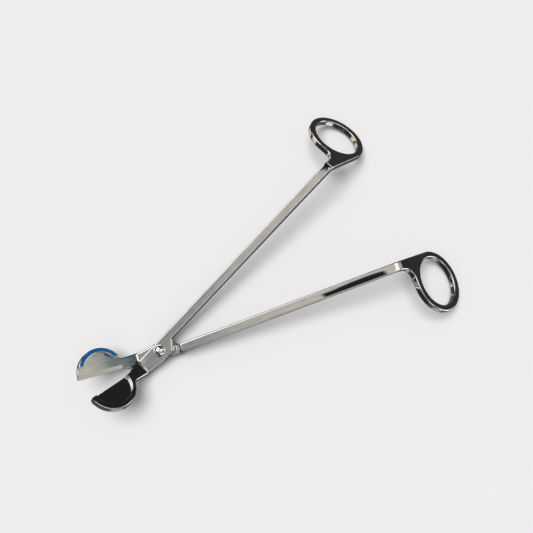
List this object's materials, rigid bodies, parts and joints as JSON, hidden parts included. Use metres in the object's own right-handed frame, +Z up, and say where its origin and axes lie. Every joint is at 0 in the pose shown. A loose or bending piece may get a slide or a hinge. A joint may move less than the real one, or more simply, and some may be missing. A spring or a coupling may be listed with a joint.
{
  "type": "wick trimmer",
  "caption": "Long-handled steel wick trimmer: crossed levers on a domed rivet, with bent-down finger rings at one end and raised half-round cutting trays at the other.",
  "frame": {"origin": "middle of the footprint, on the surface that the open trimmer lies on", "axes": "+X from the cutting trays to the finger rings along the middle line, +Z up from the surface"},
  "size_m": [0.1782, 0.116, 0.0258],
  "materials": {
    "polished_steel_upper": "mirror-polished stainless steel",
    "polished_steel_lower": "mirror-polished stainless steel",
    "rivet_steel": "polished steel, domed",
    "washer_steel": "plain stamped steel"
  },
  "bodies": {
    "upper_half": {"upper_lever": "polished_steel_upper", "pivot_rivet": "rivet_steel", "burr_washer": "washer_steel"},
    "lower_half": {"lower_lever": "polished_steel_lower"}
  },
  "joints": [
    {"name": "lever_pivot", "type": "hinge", "parent": "upper_half", "child": "lower_half", "pos_m": [-0.05128, 0, 0.00508], "axis": [-0.1366, 0, 0.9906], "range_deg": [-105, 24]}
  ]
}
